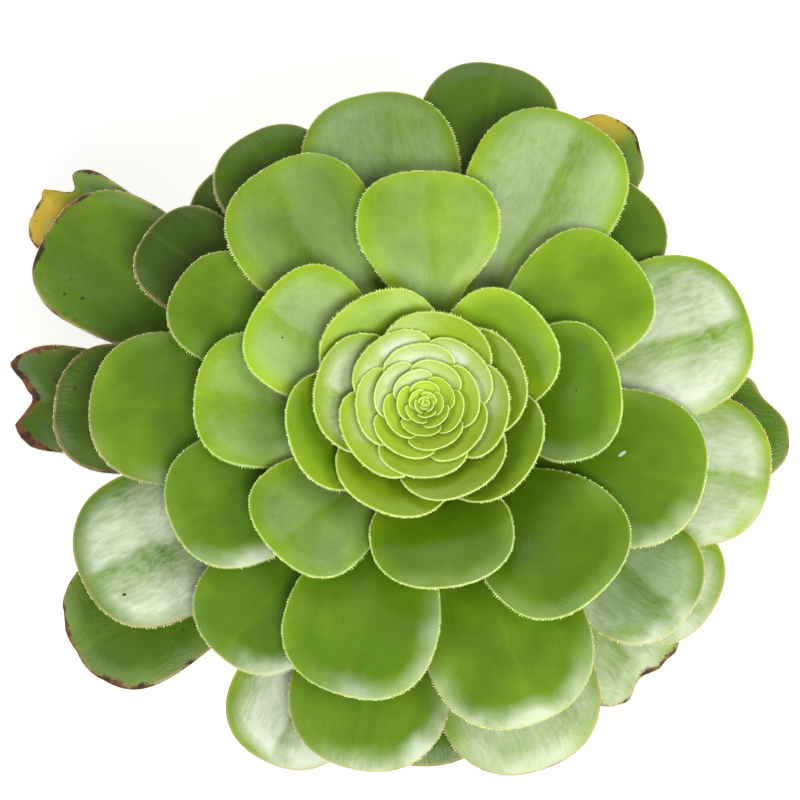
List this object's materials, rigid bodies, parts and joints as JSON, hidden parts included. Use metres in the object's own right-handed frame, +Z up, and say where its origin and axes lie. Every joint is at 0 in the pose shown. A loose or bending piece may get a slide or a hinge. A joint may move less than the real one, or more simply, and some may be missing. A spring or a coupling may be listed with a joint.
{
  "type": "potted aeonium",
  "caption": "Wide rosette of spoon-shaped succulent leaves round a tight heart, on a short bare stem in a plain terracotta pot of soil.",
  "frame": {"origin": "centre of the pot's flat underside", "axes": "+Z up along the pot's axis and the rosette's axis, +X to the right and +Y away in the picture's view"},
  "size_m": [0.2375, 0.2181, 0.215],
  "materials": {
    "terracotta": "matte, unglazed, faint lime bloom",
    "soil": "matte, crumbly",
    "bark": "matte, with leaf scars",
    "young_leaf": "satin, waxy",
    "leaf": "satin, waxy",
    "old_leaf": "satin, waxy, worn rims"
  },
  "bodies": {
    "root": {"heart": "young_leaf", "leaf_00": "young_leaf", "leaf_01": "young_leaf", "leaf_02": "young_leaf", "leaf_03": "young_leaf", "leaf_04": "young_leaf", "leaf_05": "young_leaf", "leaf_06": "young_leaf", "leaf_07": "young_leaf", "leaf_08": "young_leaf", "leaf_09": "leaf", "leaf_10": "leaf", "leaf_11": "leaf", "leaf_12": "leaf", "leaf_13": "leaf", "leaf_14": "leaf", "leaf_15": "leaf", "leaf_16": "leaf", "leaf_17": "leaf", "leaf_18": "leaf", "leaf_19": "leaf", "leaf_20": "leaf", "leaf_21": "leaf", "leaf_22": "leaf", "leaf_23": "leaf", "leaf_24": "leaf", "leaf_25": "leaf", "leaf_26": "leaf", "leaf_27": "leaf", "leaf_28": "leaf", "leaf_29": "leaf", "leaf_30": "leaf", "leaf_31": "old_leaf", "leaf_32": "old_leaf", "leaf_33": "old_leaf", "leaf_34": "old_leaf", "leaf_35": "old_leaf", "leaf_36": "old_leaf", "leaf_38": "old_leaf", "leaf_40": "old_leaf", "leaf_41": "old_leaf", "leaf_42": "old_leaf", "leaf_43": "old_leaf", "leaf_44": "old_leaf", "leaf_45": "old_leaf", "leaf_46": "old_leaf", "leaf_48": "old_leaf", "leaf_49": "old_leaf", "leaf_54": "old_leaf", "leaf_57": "old_leaf", "pot": "terracotta", "soil": "soil", "stem": "bark"}
  },
  "joints": []
}
